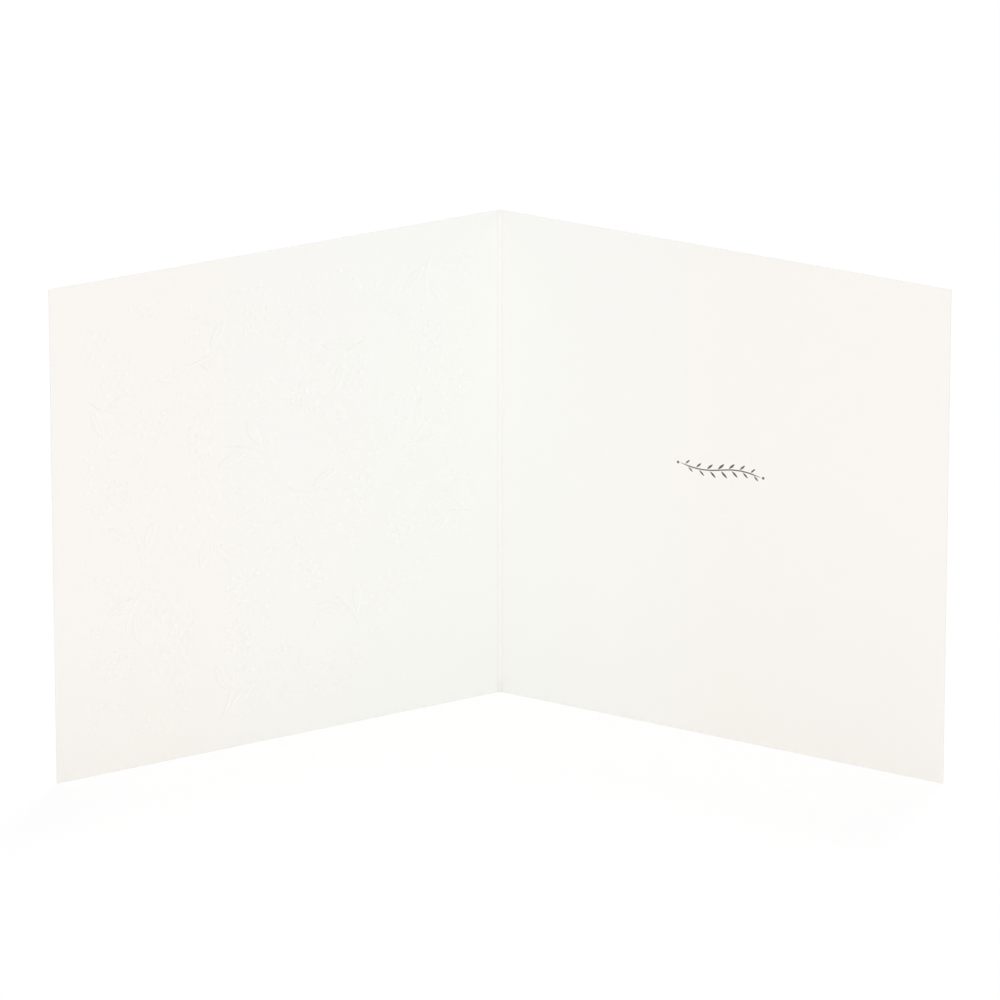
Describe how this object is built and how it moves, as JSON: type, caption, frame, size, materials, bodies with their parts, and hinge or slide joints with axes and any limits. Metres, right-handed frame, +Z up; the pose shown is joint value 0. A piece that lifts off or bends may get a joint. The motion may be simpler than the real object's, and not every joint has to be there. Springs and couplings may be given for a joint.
{
  "type": "greeting card",
  "caption": "Square greeting card of one folded sheet, standing open, with a blind-pressed relief of sprigs on its front panel.",
  "frame": {"origin": "middle of the box's base, on the surface that the card stands on, midway between the fold and the free edges", "axes": "+X from the front panel to the back panel, +Y from the open side to the fold, +Z up along the fold"},
  "size_m": [0.2568, 0.0782, 0.15],
  "materials": {
    "board": "matte"
  },
  "bodies": {
    "root": {"card": "board"}
  },
  "joints": []
}
